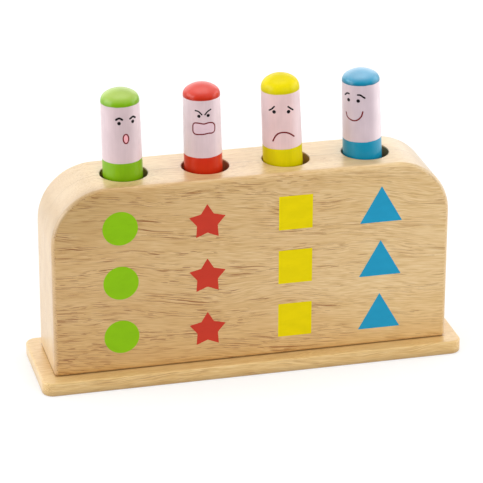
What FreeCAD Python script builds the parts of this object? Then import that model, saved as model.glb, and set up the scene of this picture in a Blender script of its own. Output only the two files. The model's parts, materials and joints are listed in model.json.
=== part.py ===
"""Pop-up peg toy, in millimetres with +Z up.

A block glued up from two boards stands on a base board. Four bores run down the glue line, a compression
spring is stapled to the base at the foot of each bore, and a turned peg with a domed head stands loose on
each spring. The origin is the middle of the base board's underside. +X runs along the toy, and -Y is its
front.
"""

import FreeCAD
import Part
import math
import os

import Sketcher
from FreeCAD import Placement, Rotation, Vector

COLOURS = ["green", "red", "yellow", "blue"]

# where the base screws of each board stand along the row: left of, in the middle of and right of it
SCREW_STEPS = (-1, 0, 1)

# name: (value, what it is), in millimetres and degrees unless the text says otherwise
SIZES = {
    "base_length": (267.5, "base board, along X"),
    "base_width": (69.0, "base board, along Y"),
    "base_thickness": (8.7, "base board"),
    "base_corner": (7.0, "radius of the base board's upright corners"),
    "base_edge": (1.2, "rounding of the base board's long edges"),
    "block_length": (250.0, "block, along X"),
    "block_height": (120.3, "block, above the base board"),
    "board_thickness": (25.3, "each of the block's two boards"),
    "block_corner": (35.0, "radius of the block's upper corners"),
    "block_edge": (3.0, "rounding of the block's outline, front and back"),
    "block_foot_edge": (2.2, "rounding of the block's bottom edge"),
    "bore_count": (4, "bores in the row, a count"),
    "bore_diameter": (29.4, "bore for a peg"),
    "bore_pitch": (50.8, "from one bore to the next"),
    "bore_row_shift": (1.0, "middle of the row of bores, to the right of the block's middle"),
    "bore_mouth": (0.4, "bevel of each bore's mouth"),
    "spring_height": (96.5, "free height of a spring"),
    "spring_diameter": (20.0, "mean diameter of the coils"),
    "spring_wire": (1.0, "thickness of the spring wire"),
    "spring_turns": (9, "rising turns, a count"),
    "spring_end_turn": (285.0, "angle of the flat coil at each end"),
    "spring_chords": (12, "straight runs in a turn, a count"),
    "spring_sides": (6, "flats round the wire, a count"),
    "peg_gap": (0.3, "from the top coil to a peg's foot, where they are closest"),
    "peg_shoulder": (70.0, "from a peg's foot to the shoulder of its head"),
    "peg_taper": (1.4, "by how much a peg's diameter narrows up to its shoulder"),
    "peg_foot_bevel": (1.0, "bevel round a peg's foot"),
    "staple_crown": (6.6, "staple, across the outside"),
    "staple_depth": (6.0, "how far a staple's legs go into the base board"),
    "staple_strip": (0.6, "thickness of the staple's strip"),
    "staple_strip_width": (1.2, "width of the staple's strip"),
    "staple_bend": (0.4, "inner radius of the staple's bends"),
    "staple_gap": (0.1, "from the wire to the staple's crown"),
    "leg_clearance": (0.05, "round a staple's leg, in the base board"),
    "screw_length": (25.0, "countersunk wood screw"),
    "screw_shank": (3.5, "diameter of the screw's shank"),
    "screw_head": (7.0, "diameter of the screw's head"),
    "screw_tip": (4.0, "length of the screw's point"),
    "screw_sink": (0.4, "how far the screw head lies below the board's face"),
    "screw_recess": (1.6, "depth of the cross recess"),
    "screw_recess_span": (3.6, "length of each arm of the cross recess"),
    "screw_recess_slot": (0.8, "width of each arm of the cross recess"),
    "screw_clearance": (0.1, "round the screw, in both boards"),
    "screw_row_spread": (108.0, "outer screws, from the row's middle"),
    "green_foot": (25.0, "diameter of the green peg's foot"),
    "green_dome": (7.7, "height of the green peg's dome"),
    "green_shoulder_round": (6.0, "rounding of the green peg's shoulder"),
    "green_lean": (-1.4, "lean of the green peg, in degrees towards +X"),
    "green_offset": (0.1, "green peg's foot, to the right of its bore's middle"),
    "red_foot": (24.1, "diameter of the red peg's foot"),
    "red_dome": (7.1, "height of the red peg's dome"),
    "red_shoulder_round": (4.6, "rounding of the red peg's shoulder"),
    "red_lean": (-1.3, "lean of the red peg, in degrees towards +X"),
    "red_offset": (-0.6, "red peg's foot, to the right of its bore's middle"),
    "yellow_foot": (25.0, "diameter of the yellow peg's foot"),
    "yellow_dome": (8.6, "height of the yellow peg's dome"),
    "yellow_shoulder_round": (7.0, "rounding of the yellow peg's shoulder"),
    "yellow_lean": (-2.5, "lean of the yellow peg, in degrees towards +X"),
    "yellow_offset": (-0.8, "yellow peg's foot, to the right of its bore's middle"),
    "blue_foot": (24.7, "diameter of the blue peg's foot"),
    "blue_dome": (7.3, "height of the blue peg's dome"),
    "blue_shoulder_round": (5.4, "rounding of the blue peg's shoulder"),
    "blue_lean": (-2.3, "lean of the blue peg, in degrees towards +X"),
    "blue_offset": (-0.8, "blue peg's foot, to the right of its bore's middle"),
}

doc = FreeCAD.newDocument("pop_up_toy")
sheet = doc.addObject("Spreadsheet::Sheet", "Sizes")
for row, (alias, (value, meaning)) in enumerate(SIZES.items(), start=1):
    sheet.set(f"A{row}", meaning)
    sheet.set(f"B{row}", str(value))
    sheet.setAlias(f"B{row}", alias)
doc.recompute()

nodes = []


def size(alias):
    """The value of one cell of the sheet."""
    return float(sheet.get(alias))


def bind(thing, target, formula):
    """Ties a property or a sketch dimension to the sheet. In the formula @ stands for the sheet."""
    thing.setExpression(target, formula.replace("@", "Sizes."))


def new_body(label, is_node=True):
    body = doc.addObject("PartDesign::Body", label)
    body.Label = label
    if is_node:
        nodes.append(body)
    return body


def origin_plane(body, role):
    return next(f for f in body.Origin.OriginFeatures if f.Role == role)


def new_sketch(body, name, role):
    sketch = body.newObject("Sketcher::SketchObject", name)
    sketch.AttachmentSupport = [(origin_plane(body, role), "")]
    sketch.MapMode = "FlatFace"
    return sketch


def dimension(sketch, kind, *args, formula):
    """Adds a dimension to a sketch and ties it to the sheet."""
    index = sketch.addConstraint(Sketcher.Constraint(kind, *args))
    bind(sketch, f"Constraints[{index}]", formula)
    return index


def add_rectangle(sketch, middle_x, middle_y, width, height):
    """A rectangle whose middle and sides are formulas of the sheet."""
    first = sketch.GeometryCount
    corners = [Vector(-1, -1, 0), Vector(1, -1, 0), Vector(1, 1, 0), Vector(-1, 1, 0)]
    for k in range(4):
        sketch.addGeometry(Part.LineSegment(corners[k], corners[(k + 1) % 4]))
    centre = sketch.addGeometry(Part.Point(Vector(0, 0, 0)))
    for k in range(4):
        joined = Sketcher.Constraint("Coincident", first + k, 2, first + (k + 1) % 4, 1)
        sketch.addConstraint(joined)
    for k, way in enumerate(["Horizontal", "Vertical", "Horizontal", "Vertical"]):
        sketch.addConstraint(Sketcher.Constraint(way, first + k))
    sketch.addConstraint(Sketcher.Constraint("Symmetric", first, 1, first + 2, 1, centre, 1))
    place_point(sketch, centre, 1, middle_x, middle_y)
    dimension(sketch, "DistanceX", first, 1, first, 2, 2.0, formula=width)
    dimension(sketch, "DistanceY", first + 1, 1, first + 1, 2, 2.0, formula=height)


def place_point(sketch, geometry, point, x, y, start=(0.0, 0.0)):
    """Puts a point, drawn at start, at two formulas of the sheet, measured from the sketch's origin."""
    dimension(sketch, "DistanceX", -1, 1, geometry, point, start[0], formula=x)
    dimension(sketch, "DistanceY", -1, 1, geometry, point, start[1], formula=y)


def add_circle(sketch, x, y, diameter):
    circle = sketch.addGeometry(Part.Circle(Vector(0, 0, 0), Vector(0, 0, 1), 1.0))
    place_point(sketch, circle, 3, x, y)
    dimension(sketch, "Diameter", circle, 2.0, formula=diameter)


def new_pad(body, sketch, name, length, is_reversed=False):
    pad = body.newObject("PartDesign::Pad", name)
    pad.Profile = sketch
    pad.Reversed = is_reversed
    bind(pad, "Length", length)
    doc.recompute()
    return pad


def cut(body, feature):
    """Recomputes a cutting feature and makes sure that it took something away."""
    before = body.Shape.Volume
    doc.recompute()
    if not body.Shape.Volume < before:
        raise RuntimeError(f"{feature.Label} cuts nothing")
    return feature


def new_pocket(body, sketch, name, depth=None, is_reversed=False):
    """A pocket, which goes right through where no depth is given."""
    pocket = body.newObject("PartDesign::Pocket", name)
    pocket.Profile = sketch
    pocket.Reversed = is_reversed
    if depth is None:
        pocket.Type = "ThroughAll"
    else:
        bind(pocket, "Length", depth)
    return cut(body, pocket)


def row_pattern(body, feature, name):
    """Repeats a feature at every bore."""
    pattern = body.newObject("PartDesign::LinearPattern", name)
    pattern.Originals = [feature]
    pattern.Direction = (feature.Profile[0], ["H_Axis"])
    bind(pattern, "Length", "@bore_pitch * (@bore_count - 1)")
    bind(pattern, "Occurrences", "@bore_count")
    body.Tip = pattern
    return cut(body, pattern)


def dress_edges(body, kind, name, formula, is_wanted):
    """Rounds (Fillet) or bevels (Chamfer) the edges of the body's tip for which is_wanted says yes."""
    tip = body.Tip
    names = [f"Edge{k}" for k, edge in enumerate(tip.Shape.Edges, start=1) if is_wanted(edge)]
    dressing = body.newObject(f"PartDesign::{kind}", name)
    dressing.Base = (tip, names)
    bind(dressing, "Radius" if kind == "Fillet" else "Size", formula)
    doc.recompute()
    return dressing


def lies_at(edge, axis, value):
    """Whether the whole edge lies at one value of x, y or z."""
    box = edge.BoundBox
    low, high = {"x": (box.XMin, box.XMax), "y": (box.YMin, box.YMax), "z": (box.ZMin, box.ZMax)}[axis]
    return abs(low - value) < 1e-4 and abs(high - value) < 1e-4


def lies_level(edge):
    """Whether the whole edge lies at one height."""
    return edge.BoundBox.ZLength < 1e-4


def bore_x(number):
    """Formula of the place along X of one bore, counted from the left."""
    return f"(@bore_row_shift + @bore_pitch * ({number} - (@bore_count - 1) / 2))"


def bore_place(number):
    """Place along X of one bore, in millimetres."""
    middle = (size("bore_count") - 1) / 2
    return size("bore_row_shift") + size("bore_pitch") * (number - middle)


def add_screw_holes(sketch, sides):
    """Circles for the base screws, three in a row under each of the block's boards."""
    for side in sides:
        for step in SCREW_STEPS:
            add_circle(
                sketch, f"@bore_row_shift + {step} * @screw_row_spread", f"{side} * @board_thickness / 2",
                "@screw_shank + 2 * @screw_clearance",
            )


def make_base_board():
    body = new_body("base_board")
    outline = new_sketch(body, "base_outline", "XY_Plane")
    add_rectangle(outline, "0 mm", "0 mm", "@base_length", "@base_width")
    new_pad(body, outline, "base_pad", "@base_thickness")
    thickness = size("base_thickness")
    dress_edges(body, "Fillet", "base_corners", "@base_corner", lambda e: not lies_level(e))
    dress_edges(
        body, "Fillet", "base_edges", "@base_edge",
        lambda e: lies_at(e, "z", 0) or lies_at(e, "z", thickness),
    )
    legs = new_sketch(body, "staple_legs", "XY_Plane")
    bind(legs, "AttachmentOffset.Base.z", "@base_thickness")
    reach = "(@staple_crown - @staple_strip) / 2"
    for side in (-1, 1):
        for leg in (-1, 1):
            add_rectangle(
                legs, bore_x(0), f"{side} * (@spring_diameter / 2 + {leg} * {reach})",
                "@staple_strip_width + 2 * @leg_clearance", "@staple_strip + 2 * @leg_clearance",
            )
    leg_pocket = new_pocket(body, legs, "leg_slots", "@staple_depth + @leg_clearance")
    row_pattern(body, leg_pocket, "leg_slot_row")
    shanks = new_sketch(body, "shank_circles", "XY_Plane")
    add_screw_holes(shanks, (-1, 1))
    new_pocket(body, shanks, "shank_holes", is_reversed=True)
    dress_edges(
        body, "Chamfer", "countersinks", "(@screw_head - @screw_shank) / 2 + @screw_sink",
        lambda e: lies_at(e, "z", 0) and e.isClosed(),
    )
    return body


def make_block_board(label, side):
    """One board of the block. side is -1 for the front board and 1 for the back board."""
    body = new_body(label)
    bind(body, "Placement.Base.z", "@base_thickness")
    outline = new_sketch(body, f"{label}_outline", "XZ_Plane")
    add_rectangle(outline, "0 mm", "@block_height / 2", "@block_length", "@block_height")
    new_pad(body, outline, f"{label}_pad", "@board_thickness", is_reversed=side > 0)
    height = size("block_height")
    face = side * size("board_thickness")
    dress_edges(
        body, "Fillet", f"{label}_corners", "@block_corner",
        lambda e: lies_at(e, "z", height) and e.BoundBox.YLength > size("board_thickness") / 2,
    )
    dress_edges(
        body, "Fillet", f"{label}_edges", "@block_edge",
        lambda e: lies_at(e, "y", face) and not lies_at(e, "z", 0),
    )
    dress_edges(
        body, "Fillet", f"{label}_foot_edge", "@block_foot_edge",
        lambda e: lies_at(e, "z", 0) and not lies_at(e, "y", 0),
    )
    circle = new_sketch(body, f"{label}_bore_circle", "XY_Plane")
    add_circle(circle, bore_x(0), "0 mm", "@bore_diameter")
    bore = new_pocket(body, circle, f"{label}_bore", is_reversed=True)
    row_pattern(body, bore, f"{label}_bores")
    dress_edges(body, "Chamfer", f"{label}_mouths", "@bore_mouth", is_bore_mouth)
    pilots = new_sketch(body, f"{label}_pilots", "XY_Plane")
    add_screw_holes(pilots, (side,))
    new_pocket(
        body, pilots, f"{label}_pilot_holes",
        "@screw_length + @screw_sink - @base_thickness + @screw_clearance", is_reversed=True,
    )
    return body


def is_bore_mouth(edge):
    """Whether an edge belongs to the upper rim of a bore."""
    radius = size("bore_diameter") / 2
    box = edge.BoundBox
    if box.ZMin < size("block_height") - size("block_corner") or edge.Length < radius / 20:
        return False
    for number in range(int(size("bore_count"))):
        axis = Vector(bore_place(number), 0, 0)
        ends = [Vector(v.X, v.Y, 0) for v in edge.Vertexes]
        if all(abs(end.distanceToPoint(axis) - radius) < 1e-3 for end in ends):
            middle = edge.valueAt((edge.FirstParameter + edge.LastParameter) / 2)
            return abs(Vector(middle.x, middle.y, 0).distanceToPoint(axis) - radius) < 1e-3
    return False


def make_peg(number, colour):
    """A turned peg, which leans a little as it stands loose on its spring."""
    body = new_body(f"peg_{colour}")
    lean = f"@{colour}_lean * 1 deg"
    rise = f"@peg_gap + (@spring_diameter + @spring_wire) / 2 * abs(sin({lean}))"
    bind(body, "Placement.Base.x", f"{bore_x(number)} + @{colour}_offset")
    bind(body, "Placement.Base.z", f"@base_thickness + @spring_height + {rise}")
    body.Placement.Rotation = Rotation(Vector(0, 1, 0), size(f"{colour}_lean"))
    foot = size(f"{colour}_foot") / 2
    bevel = size("peg_foot_bevel")
    shoulder = size("peg_shoulder")
    dome = size(f"{colour}_dome")
    small = size(f"{colour}_shoulder_round")
    top = foot - size("peg_taper") / 2
    inset = top - small
    drop = (inset**2 - (dome - small) ** 2) / (2 * (dome - small))
    large = dome + drop
    meet = math.atan2(drop, inset)
    profile = new_sketch(body, f"{colour}_profile", "XZ_Plane")
    floor = profile.addGeometry(Part.LineSegment(Vector(0, 0, 0), Vector(foot - bevel, 0, 0)))
    slope = profile.addGeometry(Part.LineSegment(Vector(foot - bevel, 0, 0), Vector(foot, bevel, 0)))
    side = profile.addGeometry(Part.LineSegment(Vector(foot, bevel, 0), Vector(top, shoulder, 0)))
    round_circle = Part.Circle(Vector(inset, shoulder, 0), Vector(0, 0, 1), small)
    rounding = profile.addGeometry(Part.ArcOfCircle(round_circle, 0, meet))
    crown_circle = Part.Circle(Vector(0, shoulder - drop, 0), Vector(0, 0, 1), large)
    crown = profile.addGeometry(Part.ArcOfCircle(crown_circle, meet, math.pi / 2))
    axis = profile.addGeometry(Part.LineSegment(Vector(0, shoulder + dome, 0), Vector(0, 0, 0)))
    add = profile.addConstraint
    add(Sketcher.Constraint("Coincident", floor, 1, -1, 1))
    add(Sketcher.Constraint("Horizontal", floor))
    add(Sketcher.Constraint("Coincident", floor, 2, slope, 1))
    add(Sketcher.Constraint("Coincident", slope, 2, side, 1))
    add(Sketcher.Constraint("Tangent", side, 2, rounding, 1))
    add(Sketcher.Constraint("Tangent", rounding, 2, crown, 1))
    add(Sketcher.Constraint("PointOnObject", crown, 3, -2))
    add(Sketcher.Constraint("Coincident", crown, 2, axis, 1))
    add(Sketcher.Constraint("Coincident", axis, 2, floor, 1))
    add(Sketcher.Constraint("PointOnObject", axis, 1, -2))
    dimension(profile, "DistanceX", -1, 1, side, 1, foot, formula=f"@{colour}_foot / 2")
    dimension(profile, "DistanceX", slope, 1, slope, 2, bevel, formula="@peg_foot_bevel")
    dimension(profile, "DistanceY", slope, 1, slope, 2, bevel, formula="@peg_foot_bevel")
    dimension(profile, "Radius", rounding, small, formula=f"@{colour}_shoulder_round")
    place_point(
        profile, rounding, 3,
        f"(@{colour}_foot - @peg_taper) / 2 - @{colour}_shoulder_round", "@peg_shoulder",
        start=(inset, shoulder),
    )
    height = f"@peg_shoulder + @{colour}_dome"
    dimension(profile, "DistanceY", -1, 1, axis, 1, shoulder + dome, formula=height)
    turned = body.newObject("PartDesign::Revolution", f"{colour}_turned")
    turned.Profile = profile
    turned.ReferenceAxis = (profile, ["V_Axis"])
    turned.Angle = 360
    doc.recompute()
    return body


def coil_point(angle):
    """Point of the spring's centre line. The coil is flat before angle 0 and after its last rising turn."""
    last = 2 * math.pi * size("spring_turns")
    wire = size("spring_wire")
    risen = min(max(angle / last, 0), 1)
    radius = size("spring_diameter") / 2
    height = wire / 2 + risen * (size("spring_height") - wire)
    return Vector(radius * math.cos(angle), radius * math.sin(angle), height)


def coil_path():
    """The spring's centre line as straight runs, with corners where the coil begins and stops to rise."""
    step = 2 * math.pi / size("spring_chords")
    flat = math.radians(size("spring_end_turn"))
    rising = 2 * math.pi * size("spring_turns")
    runs = round(flat / step)
    rises = round(rising / step)
    angles = [-flat + flat * k / runs for k in range(runs)]
    angles += [rising * k / rises for k in range(rises)]
    angles += [rising + flat * k / runs for k in range(runs + 1)]
    return [coil_point(angle) for angle in angles]


def make_spring(number, colour):
    """A coil spring with a flat coil at each end: a many-sided wire, mitred at each corner of its path."""
    path = coil_path()
    ways = [(b - a).normalize() for a, b in zip(path, path[1:])]
    sides = int(size("spring_sides"))
    across = size("spring_wire") / 2 / math.cos(math.pi / sides)
    up = Vector(0, 0, 1)
    out = ways[0].cross(up)
    ring = []
    for k in range(sides):
        turn = 2 * math.pi * (k + 0.5) / sides - math.pi / 2
        ring.append(path[0] + out * (across * math.cos(turn)) + up * (across * math.sin(turn)))
    rings = [ring]
    for k, way in enumerate(ways):
        following = ways[k + 1] if k + 1 < len(ways) else way
        mitre = (way + following).normalize()
        target = path[k + 1]
        rings.append([p + way * ((target - p).dot(mitre) / way.dot(mitre)) for p in rings[-1]])
    faces = [Part.Face(Part.makePolygon(end + end[:1])) for end in (rings[0], rings[-1])]
    for near, far in zip(rings, rings[1:]):
        for k in range(sides):
            after = (k + 1) % sides
            faces.append(Part.Face(Part.makePolygon([near[k], near[after], far[after], far[k], near[k]])))
    solid = Part.makeSolid(Part.makeShell(faces))
    if solid.Volume < 0:
        solid.reverse()
    spring = doc.addObject("Part::Feature", f"spring_{colour}")
    spring.Label = f"spring_{colour}"
    spring.Shape = solid
    spring.Placement = Placement(Vector(bore_place(number), 0, size("base_thickness")), Rotation())
    nodes.append(spring)
    return spring


def make_staple():
    """One staple, astride a wire that lies along X at the origin of the base board's top face."""
    body = new_body("one_staple", is_node=False)
    outline = new_sketch(body, "staple_outline", "YZ_Plane")
    half = size("staple_crown") / 2
    strip = size("staple_strip")
    bend = size("staple_bend")
    crown = size("spring_wire") + size("staple_gap") + strip
    depth = size("staple_depth")
    outer = add_hoop(outline, half, crown, bend + strip, depth)
    inner = add_hoop(outline, half - strip, crown - strip, bend, depth)
    for side, leg, point in ((-1, 0, 1), (1, 4, 2)):
        outside = Vector(side * half, -depth, 0)
        inside = Vector(side * (half - strip), -depth, 0)
        end = outline.addGeometry(Part.LineSegment(outside, inside))
        outline.addConstraint(Sketcher.Constraint("Coincident", end, 1, outer[leg], point))
        outline.addConstraint(Sketcher.Constraint("Coincident", end, 2, inner[leg], point))
        outline.addConstraint(Sketcher.Constraint("Horizontal", end))
    for hoop, thicker in ((outer, " + @staple_strip"), (inner, "")):
        reach = "@staple_crown / 2" if hoop is outer else "@staple_crown / 2 - @staple_strip"
        top = "@spring_wire + @staple_gap" + thicker
        radius = "@staple_bend" + thicker
        dimension(outline, "DistanceX", hoop[0], 1, -1, 1, half, formula=reach)
        dimension(outline, "DistanceX", -1, 1, hoop[4], 2, half, formula=reach)
        dimension(outline, "DistanceY", -1, 1, hoop[2], 1, crown, formula=top)
        dimension(outline, "Radius", hoop[1], bend, formula=radius)
        dimension(outline, "Radius", hoop[3], bend, formula=radius)
    dimension(outline, "DistanceY", outer[0], 1, -1, 1, depth, formula="@staple_depth")
    pad = new_pad(body, outline, "staple_pad", "@staple_strip_width")
    pad.Midplane = True
    doc.recompute()
    return body


def add_hoop(sketch, half, top, radius, depth):
    """A leg, a bend, a crown, a bend and a leg, joined smoothly. Returns their numbers in the sketch."""
    x, y = half - radius, top - radius
    left = Part.Circle(Vector(-x, y, 0), Vector(0, 0, 1), radius)
    right = Part.Circle(Vector(x, y, 0), Vector(0, 0, 1), radius)
    parts = [
        sketch.addGeometry(Part.LineSegment(Vector(-half, -depth, 0), Vector(-half, y, 0))),
        sketch.addGeometry(Part.ArcOfCircle(left, math.pi / 2, math.pi)),
        sketch.addGeometry(Part.LineSegment(Vector(-x, top, 0), Vector(x, top, 0))),
        sketch.addGeometry(Part.ArcOfCircle(right, 0, math.pi / 2)),
        sketch.addGeometry(Part.LineSegment(Vector(half, y, 0), Vector(half, -depth, 0))),
    ]
    leg, bend, crown, other_bend, other_leg = parts
    sketch.addConstraint(Sketcher.Constraint("Vertical", leg))
    sketch.addConstraint(Sketcher.Constraint("Horizontal", crown))
    sketch.addConstraint(Sketcher.Constraint("Vertical", other_leg))
    sketch.addConstraint(Sketcher.Constraint("Tangent", leg, 2, bend, 2))
    sketch.addConstraint(Sketcher.Constraint("Tangent", bend, 1, crown, 1))
    sketch.addConstraint(Sketcher.Constraint("Tangent", crown, 2, other_bend, 2))
    sketch.addConstraint(Sketcher.Constraint("Tangent", other_bend, 1, other_leg, 1))
    return parts


def make_screw():
    """One countersunk wood screw, driven upwards, with its head's face at z = 0."""
    body = new_body("one_screw", is_node=False)
    profile = new_sketch(body, "screw_profile", "XZ_Plane")
    head = size("screw_head") / 2
    shank = size("screw_shank") / 2
    length = size("screw_length")
    neck = head - shank
    corners = [(0, 0), (head, 0), (shank, neck), (shank, length - size("screw_tip")), (0, length)]
    lines = []
    for near, far in zip(corners, corners[1:] + corners[:1]):
        lines.append(profile.addGeometry(Part.LineSegment(Vector(*near, 0), Vector(*far, 0))))
    for k in range(len(lines)):
        joined = Sketcher.Constraint("Coincident", lines[k], 2, lines[(k + 1) % len(lines)], 1)
        profile.addConstraint(joined)
    places = [
        ("0 mm", "0 mm"),
        ("@screw_head / 2", "0 mm"),
        ("@screw_shank / 2", "(@screw_head - @screw_shank) / 2"),
        ("@screw_shank / 2", "@screw_length - @screw_tip"),
        ("0 mm", "@screw_length"),
    ]
    for line, (x, z), corner in zip(lines, places, corners):
        place_point(profile, line, 1, x, z, start=corner)
    turned = body.newObject("PartDesign::Revolution", "screw_turned")
    turned.Profile = profile
    turned.ReferenceAxis = (profile, ["V_Axis"])
    turned.Angle = 360
    doc.recompute()
    for name, width, height in (
        ("recess_along", "@screw_recess_span", "@screw_recess_slot"),
        ("recess_across", "@screw_recess_slot", "@screw_recess_span"),
    ):
        arm = new_sketch(body, f"{name}_outline", "XY_Plane")
        add_rectangle(arm, "0 mm", "0 mm", width, height)
        new_pocket(body, arm, name, "@screw_recess", is_reversed=True)
    return body


def make_group(label, pattern, places):
    """A node of equal pieces: copies of one body's shape, each at its own placement."""
    copies = []
    for place in places:
        copy = pattern.Shape.copy()
        copy.Placement = place.multiply(copy.Placement)
        copies.append(copy)
    group = doc.addObject("Part::Feature", label)
    group.Label = label
    group.Shape = Part.makeCompound(copies)
    nodes.append(group)
    return group


make_base_board()
make_block_board("block_front_board", -1)
make_block_board("block_back_board", 1)

staple_places = []
for number, colour in enumerate(COLOURS):
    make_spring(number, colour)
    make_peg(number, colour)
    for side in (-1, 1):
        foot = Vector(bore_place(number), side * size("spring_diameter") / 2, size("base_thickness"))
        staple_places.append(Placement(foot, Rotation()))
make_group("spring_staples", make_staple(), staple_places)

screw_places = []
for side in (-1, 1):
    for step in SCREW_STEPS:
        head = Vector(
            size("bore_row_shift") + step * size("screw_row_spread"),
            side * size("board_thickness") / 2,
            size("screw_sink"),
        )
        screw_places.append(Placement(head, Rotation()))
make_group("base_screws", make_screw(), screw_places)

doc.recompute()
for item in doc.Objects:
    if "Invalid" in item.State or "Error" in item.State:
        raise RuntimeError(f"{item.Label} failed: {item.State}")
os.makedirs("parts", exist_ok=True)
for node in nodes:
    if node.Shape.isNull() or not node.Shape.isValid():
        raise RuntimeError(f"{node.Label} has no valid shape")
    node.Shape.exportStep(f"parts/{node.Label}.step")
    print(node.Label, len(node.Shape.Solids), "solids", round(node.Shape.Volume, 1), "mm3")
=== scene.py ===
"""Looks of the pop-up peg toy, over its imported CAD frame.

Four painted pegs stand on springs in a bored block of light wood, and the block stands on a base board.
Lengths are millimetres in the frame's axes, and angles are degrees where nothing else is said. Colours are
sRGB from 0 to 255, until they are used.
"""
import json
import math

import bmesh
import bpy
from mathutils import Matrix, Vector


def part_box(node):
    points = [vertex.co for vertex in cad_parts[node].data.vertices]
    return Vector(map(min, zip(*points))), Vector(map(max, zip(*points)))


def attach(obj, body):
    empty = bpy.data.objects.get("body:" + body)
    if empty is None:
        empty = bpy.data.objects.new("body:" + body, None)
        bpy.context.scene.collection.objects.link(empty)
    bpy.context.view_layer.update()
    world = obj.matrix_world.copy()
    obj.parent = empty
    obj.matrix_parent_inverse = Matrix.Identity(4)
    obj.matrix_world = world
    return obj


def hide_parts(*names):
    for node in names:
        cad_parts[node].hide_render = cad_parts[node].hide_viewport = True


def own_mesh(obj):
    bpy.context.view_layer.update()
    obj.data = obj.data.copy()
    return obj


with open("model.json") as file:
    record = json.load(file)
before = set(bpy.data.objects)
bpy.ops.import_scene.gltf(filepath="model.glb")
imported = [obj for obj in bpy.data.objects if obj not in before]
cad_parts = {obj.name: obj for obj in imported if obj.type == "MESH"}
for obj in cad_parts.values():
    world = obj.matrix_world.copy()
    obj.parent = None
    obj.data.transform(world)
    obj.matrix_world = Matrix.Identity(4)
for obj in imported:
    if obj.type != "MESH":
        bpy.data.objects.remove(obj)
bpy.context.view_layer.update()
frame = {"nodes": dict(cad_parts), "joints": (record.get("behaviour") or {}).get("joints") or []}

MM = 0.001
COLOURS = ("green", "red", "yellow", "blue")

# ---------------------------------------------------------------- sizes

BLOCK_SIZE = (250.0, 50.6)
BORE_FIRST = -75.2
BORE_PITCH = 50.8
BORE_RADIUS = 14.7
BORE_ROW_REACH = 95.0  # from the block's middle to past the last bores, on both sides

PRINT_PROUD = 0.05
PRINT_SUNK = 0.05
PRINT_COLUMNS = (-82.95, -29.05, 26.5, 80.95)
PRINT_ROW_PITCH = 35.85
PRINT_MIDDLE_ROW = 67.3
PRINT_ROWS = 3
CIRCLE_DIAMETER = 21.8
CIRCLE_SIDES = 96
STAR_TIPS = 5
STAR_TIP_RADIUS = 12.0
STAR_NOTCH_RADIUS = 6.8
SQUARE_SIZE = (21.4, 22.2)
TRIANGLE_BASE = 27.0
TRIANGLE_HEIGHT = 23.7
PRINT_CORNER = 0.35
CORNER_STEPS = 4

SPRING_RADIUS = 10.0
SPRING_WIRE_RADIUS = 0.5
SPRING_TURNS = 9
SPRING_END_TURN = 285.0
SPRING_STEPS = 30  # stations in a turn
SPRING_SIDES = 10

PEG_TAPER = 0.7  # on the radius, from the foot's bevel to the shoulder
PEG_BEVEL = 1.0
PEG_SHOULDER = 70.0
FACE_RISE = 24.0  # the heights of a face's points are above this height on the peg
PAINT_PROUD = 0.04
PAINT_SUNK = 0.07
LINE_STEP = 0.3  # from point to point along a painted line
PATCH_STEP = 0.7  # from ring to ring of a filled shape
PATCH_LEAST_RINGS = 3
OVAL_SIDES = 32
ROUND_END = (12, 32, 52, 72)  # where round a line's end it has a station
SHARP_ANGLE = 35.0  # an edge that turns by more is crisp

# Radius of the foot, the heights where the colour stops below the face and starts above it, the strength of
# the gloss, and how much painted sheen pales the face's paint towards the left and the right side.
PEGS = {
    "green": {"foot": 12.5, "band": 33.7, "cap": 69.7, "gloss": 0.8, "sides": (0.3, 0.55)},
    "red": {"foot": 12.05, "band": 32.6, "cap": 69.3, "gloss": 0.8, "sides": (0.65, 0.6)},
    "yellow": {"foot": 12.5, "band": 33.7, "cap": 69.1, "gloss": 0.4, "sides": (0.4, 0.6)},
    "blue": {"foot": 12.35, "band": 33.6, "cap": 70.3, "gloss": 1.0, "sides": (0.4, 0.65)},
}

# The lines' widths are the brows' and the mouth's, and the eye's size is its radius. A point is the way round
# the peg from its front towards +X, and the height.
FACES = {
    "green": {
        "lines": (1.25, 0.8),
        "eye": 1.1,
        "brows": [[(-5.0, 38.0), (-3.1, 39.0), (-1.3, 38.0)], [(3.7, 38.0), (5.7, 38.9), (7.5, 37.9)]],
        "eyes": [(-3.3, 35.7), (5.5, 35.9)],
    },
    "red": {
        "lines": (0.85, 0.8),
        "eye": 1.0,
        "brows": [[(-6.5, 39.3), (-4.4, 38.6), (-2.6, 36.7)], [(3.1, 39.5), (1.0, 38.5), (-0.7, 36.6)]],
        "eyes": [(-4.4, 35.7), (1.3, 35.9)],
    },
    "yellow": {
        "lines": (1.0, 0.95),
        "eye": 1.15,
        "brows": [[(-10.5, 34.8), (-8.7, 35.8), (-7.0, 37.6)], [(1.6, 37.1), (3.2, 35.7), (4.9, 34.4)]],
        "eyes": [(-7.2, 34.1), (1.8, 33.8)],
    },
    "blue": {
        "lines": (1.05, 0.9),
        "eye": 1.12,
        "brows": [
            [(-14.7, 39.3), (-12.6, 40.8), (-11.1, 40.8)],
            [(-5.3, 40.6), (-3.7, 40.5), (-2.1, 39.3), (-1.0, 38.5)],
        ],
        "eyes": [(-11.6, 36.7), (-5.1, 36.7)],
    },
}
GREEN_MOUTH_CENTRE = (0.5, 25.6)
GREEN_MOUTH_HALF = (1.7, 2.9)
RED_MOUTH = [
    (-7.1, 31.2), (-4.2, 31.2), (-1.4, 30.7), (1.3, 31.2), (3.9, 30.8), (5.4, 29.3), (5.7, 27.2),
    (5.2, 25.1), (3.6, 24.3), (1.2, 24.5), (-1.7, 24.1), (-4.6, 24.0), (-7.0, 24.1), (-8.3, 25.3),
    (-8.5, 27.3), (-8.3, 29.8),
]
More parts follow.
